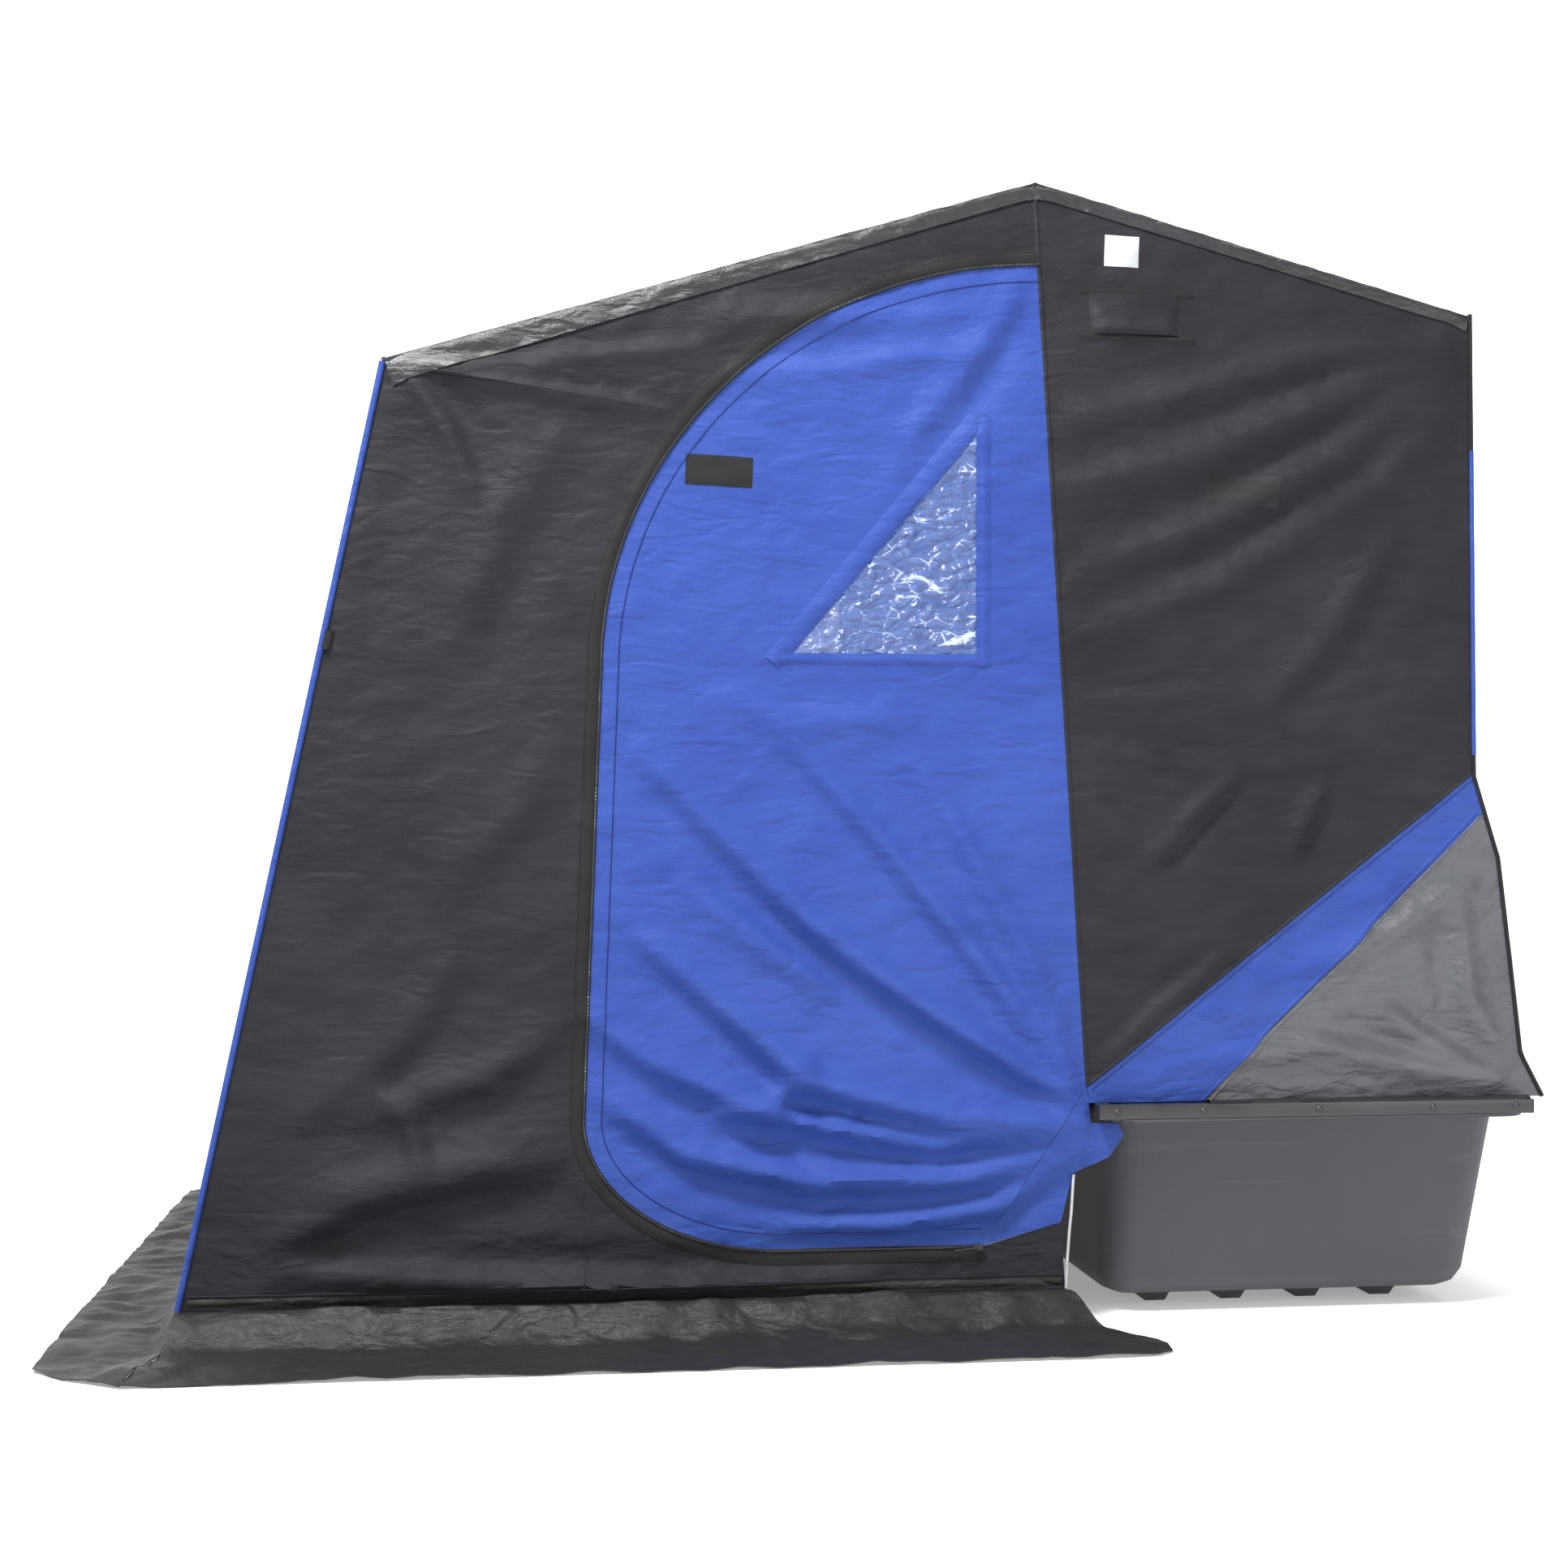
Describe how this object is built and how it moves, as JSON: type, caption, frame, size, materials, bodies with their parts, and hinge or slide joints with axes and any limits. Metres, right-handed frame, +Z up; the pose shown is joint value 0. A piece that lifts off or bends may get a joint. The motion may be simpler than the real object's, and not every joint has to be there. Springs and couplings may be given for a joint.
{
  "type": "flip-over ice fishing shelter",
  "caption": "Flip-over ice fishing shelter: moulded sled, telescoping pivoting bows, sewn canopy with roof, side doors, clear windows and ground skirt.",
  "frame": {"origin": "on the ground under the middle of the shelter, skirts included", "axes": "+X towards the sled at the rear, -X towards the front wall, +Z up, -Y to the left of someone who sits on the sled and faces the front"},
  "size_m": [2.6032, 2.06, 2.0114],
  "materials": {
    "black_fabric": "matte",
    "roof_fabric": "matte",
    "blue_fabric": "matte",
    "grey_fabric": "matte",
    "seat_fabric": "matte",
    "clear_vinyl": "gloss",
    "sled_plastic": "matte",
    "black_plastic": "satin",
    "aluminium": "satin",
    "steel": "satin"
  },
  "bodies": {
    "sled": {"sled_tub": "sled_plastic", "rim_rail_front": "steel", "rim_rail_rear": "steel", "rim_rail_left": "steel", "rim_rail_right": "steel", "pivot_bracket_left": "steel", "pivot_bracket_right": "steel", "pivot_bolt_left": "steel", "pivot_bolt_right": "steel", "seat_rail_front": "aluminium", "seat_rail_rear": "aluminium", "rear_wall": "black_fabric", "rear_panel_left": "black_fabric", "rear_panel_right": "black_fabric", "corner_band_left": "blue_fabric", "corner_band_right": "blue_fabric", "corner_panel_left": "grey_fabric", "corner_panel_right": "grey_fabric", "side_skirt_left": "roof_fabric", "side_skirt_right": "roof_fabric", "vent_hood_left": "black_fabric", "vent_hood_right": "black_fabric"},
    "rear_tubes": {"rear_tube_left": "aluminium", "rear_tube_right": "aluminium"},
    "rear_bow": {"rear_bow": "aluminium", "roof_rear": "roof_fabric"},
    "mid_tubes": {"mid_tube_left": "aluminium", "mid_tube_right": "aluminium", "front_panel_left": "black_fabric", "front_panel_right": "black_fabric", "hem_panel_left": "black_fabric", "hem_panel_right": "black_fabric", "gable_panel_left": "black_fabric", "gable_panel_right": "black_fabric"},
    "mid_bow": {"mid_bow": "aluminium", "roof_front": "roof_fabric"},
    "front_tubes": {"front_tube_left": "aluminium", "front_tube_right": "aluminium"},
    "front_bow": {"front_bow": "aluminium", "front_wall": "grey_fabric"},
    "ground_tubes": {"ground_tube_left": "aluminium", "ground_tube_right": "aluminium"},
    "ground_bow": {"ground_bow": "aluminium", "front_skirt": "roof_fabric"},
    "door_left": {"door_left": "blue_fabric", "window_left": "clear_vinyl"},
    "zip_left": {"zip_pull_left": "black_plastic"},
    "seat_left_carriage": {"seat_carriage_left": "aluminium"},
    "seat_left": {"seat_pan_left": "aluminium", "seat_pad_left": "seat_fabric"},
    "seat_left_back": {"seat_back_left": "seat_fabric"},
    "door_right": {"door_right": "blue_fabric", "window_right": "clear_vinyl"},
    "zip_right": {"zip_pull_right": "black_plastic"},
    "seat_right_carriage": {"seat_carriage_right": "aluminium"},
    "seat_right": {"seat_pan_right": "aluminium", "seat_pad_right": "seat_fabric"},
    "seat_right_back": {"seat_back_right": "seat_fabric"}
  },
  "joints": [
    {"name": "canopy_fold", "type": "hinge", "parent": "sled", "child": "rear_tubes", "pos_m": [0.48958, 0, 0.42], "axis": [0, 1, 0], "range_deg": [0, 60.9], "deforming": ["rear_wall", "roof_rear", "roof_front", "front_wall", "front_skirt", "rear_panel_left", "rear_panel_right", "corner_band_left", "corner_band_right", "corner_panel_left", "corner_panel_right", "side_skirt_left", "side_skirt_right", "front_panel_left", "front_panel_right", "hem_panel_left", "hem_panel_right", "gable_panel_left", "gable_panel_right", "vent_hood_left", "vent_hood_right"]},
    {"name": "mid_bow_fold", "type": "hinge", "parent": "sled", "child": "mid_tubes", "pos_m": [0.48958, 0, 0.42], "axis": [0, 1, 0], "range_deg": [0, 86.22]},
    {"name": "front_bow_fold", "type": "hinge", "parent": "sled", "child": "front_tubes", "pos_m": [0.48958, 0, 0.42], "axis": [0, 1, 0], "range_deg": [0, 122.02]},
    {"name": "ground_bow_fold", "type": "hinge", "parent": "sled", "child": "ground_tubes", "pos_m": [0.48958, 0, 0.42], "axis": [0, 1, 0], "range_deg": [0, 175.12]},
    {"name": "rear_bow_telescope", "type": "slide", "parent": "rear_tubes", "child": "rear_bow", "axis": [0.4399, 0, 0.898], "range_m": [-0.6265, 0]},
    {"name": "mid_bow_telescope", "type": "slide", "parent": "mid_tubes", "child": "mid_bow", "axis": [-0.0732, 0, 0.9973], "range_m": [-0.6735, 0]},
    {"name": "front_bow_telescope", "type": "slide", "parent": "front_tubes", "child": "front_bow", "axis": [-0.7071, 0, 0.7071], "range_m": [-0.7705, 0]},
    {"name": "ground_bow_telescope", "type": "slide", "parent": "ground_tubes", "child": "ground_bow", "axis": [-0.974, 0, -0.2267], "range_m": [-0.6965, 0]},
    {"name": "door_left_swing", "type": "hinge", "parent": "mid_tubes", "child": "door_left", "pos_m": [0.46158, -0.78, 0.418], "axis": [-0.0566, 0, 0.9984], "range_deg": [0, 100]},
    {"name": "zip_left_run", "type": "slide", "parent": "mid_tubes", "child": "zip_left", "axis": [-1, 0, 0], "range_m": [0, 0.29]},
    {"name": "seat_left_slide", "type": "slide", "parent": "sled", "child": "seat_left_carriage", "axis": [0, -1, 0], "range_m": [-0.012, 0.055]},
    {"name": "seat_left_swivel", "type": "hinge", "parent": "seat_left_carriage", "child": "seat_left", "pos_m": [0.85358, -0.3, 0.4058], "axis": [0, 0, 1], "continuous": true},
    {"name": "seat_left_back_fold", "type": "hinge", "parent": "seat_left", "child": "seat_left_back", "pos_m": [1.06458, -0.3, 0.5154], "axis": [0, -1, 0], "range_deg": [0, 84]},
    {"name": "door_right_swing", "type": "hinge", "parent": "mid_tubes", "child": "door_right", "pos_m": [0.46158, 0.78, 0.418], "axis": [0.0566, 0, -0.9984], "range_deg": [0, 100]},
    {"name": "zip_right_run", "type": "slide", "parent": "mid_tubes", "child": "zip_right", "axis": [-1, 0, 0], "range_m": [0, 0.29]},
    {"name": "seat_right_slide", "type": "slide", "parent": "sled", "child": "seat_right_carriage", "axis": [0, 1, 0], "range_m": [-0.012, 0.055]},
    {"name": "seat_right_swivel", "type": "hinge", "parent": "seat_right_carriage", "child": "seat_right", "pos_m": [0.85358, 0.3, 0.4058], "axis": [0, 0, 1], "continuous": true},
    {"name": "seat_right_back_fold", "type": "hinge", "parent": "seat_right", "child": "seat_right_back", "pos_m": [1.06458, 0.3, 0.5154], "axis": [0, -1, 0], "range_deg": [0, 84]}
  ],
  "couplings": [
    {"joint": "mid_bow_fold", "follows": "canopy_fold", "ratio": 1.4154},
    {"joint": "front_bow_fold", "follows": "canopy_fold", "ratio": 2.0033},
    {"joint": "ground_bow_fold", "follows": "canopy_fold", "ratio": 2.8752},
    {"joint": "rear_bow_telescope", "follows": "canopy_fold", "m_per_rad": -0.58895},
    {"joint": "mid_bow_telescope", "follows": "canopy_fold", "m_per_rad": -0.63317},
    {"joint": "front_bow_telescope", "follows": "canopy_fold", "m_per_rad": -0.72443},
    {"joint": "ground_bow_telescope", "follows": "canopy_fold", "m_per_rad": -0.65481}
  ]
}
